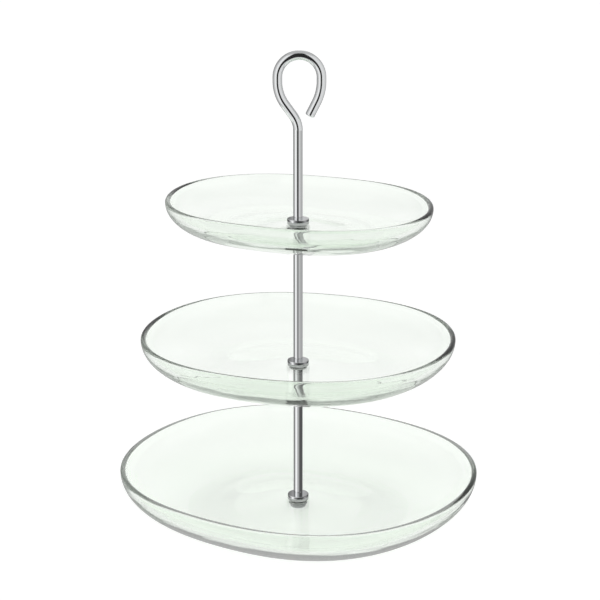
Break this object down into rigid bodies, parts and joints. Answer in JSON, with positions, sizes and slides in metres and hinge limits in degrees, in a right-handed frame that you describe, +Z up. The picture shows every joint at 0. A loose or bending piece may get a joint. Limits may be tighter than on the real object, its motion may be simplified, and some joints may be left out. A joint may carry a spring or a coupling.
{
  "type": "tiered cake stand",
  "caption": "Tiered serving stand: clear glass bowls of decreasing size held on a slim bright steel post that ends in an open loop handle.",
  "frame": {"origin": "on the post's axis, on the surface that the lowest bowl rests on", "axes": "+Z up along the post; +X towards the open side of the handle's loop; -Y is the front"},
  "size_m": [0.2734, 0.263, 0.3546],
  "materials": {
    "glass": "clear polished pressed glass with a faint green edge",
    "bright_steel": "bright chrome-plated steel rod",
    "flange_steel": "bright plated turned flange",
    "thread_steel": "zinc-plated thread",
    "soft_clear": "translucent soft plastic washer"
  },
  "bodies": {
    "bottom_tier": {"bowl_bottom": "glass", "lower_washer_bottom": "soft_clear"},
    "base_fixing": {"base_screw": "thread_steel", "base_washer": "thread_steel"},
    "lower_post": {"rod_bottom": "bright_steel", "collar_bottom": "flange_steel", "upper_washer_bottom": "soft_clear", "stud_middle": "thread_steel", "lower_washer_middle": "soft_clear"},
    "middle_tier": {"bowl_middle": "glass"},
    "middle_post": {"rod_middle": "bright_steel", "collar_middle": "flange_steel", "upper_washer_middle": "soft_clear", "stud_top": "thread_steel", "lower_washer_top": "soft_clear"},
    "top_tier": {"bowl_top": "glass"},
    "top_ring": {"upper_washer_top": "soft_clear"},
    "handle": {"handle_rod": "bright_steel", "collar_top": "flange_steel"}
  },
  "joints": [
    {"name": "post_swivel", "type": "hinge", "parent": "bottom_tier", "child": "base_fixing", "pos_m": [0, 0, 0], "axis": [0, 0, 1], "continuous": true},
    {"name": "lower_post_turn", "type": "hinge", "parent": "base_fixing", "child": "lower_post", "pos_m": [0, 0, 0], "axis": [0, 0, 1], "continuous": true},
    {"name": "middle_tier_turn", "type": "hinge", "parent": "lower_post", "child": "middle_tier", "pos_m": [0, 0, 0], "axis": [0, 0, 1], "continuous": true},
    {"name": "middle_post_turn", "type": "hinge", "parent": "lower_post", "child": "middle_post", "pos_m": [0, 0, 0], "axis": [0, 0, 1], "continuous": true},
    {"name": "top_tier_turn", "type": "hinge", "parent": "middle_post", "child": "top_tier", "pos_m": [0, 0, 0], "axis": [0, 0, 1], "continuous": true},
    {"name": "handle_rise", "type": "slide", "parent": "top_tier", "child": "top_ring", "axis": [0, 0, 1], "range_m": [0, 0.0056]},
    {"name": "handle_unscrew", "type": "hinge", "parent": "top_ring", "child": "handle", "pos_m": [0, 0, 0], "axis": [0, 0, 1], "range_deg": [0, 2880]}
  ],
  "couplings": [
    {"joint": "handle_rise", "follows": "handle_unscrew", "m_per_rad": 0.00011141}
  ]
}
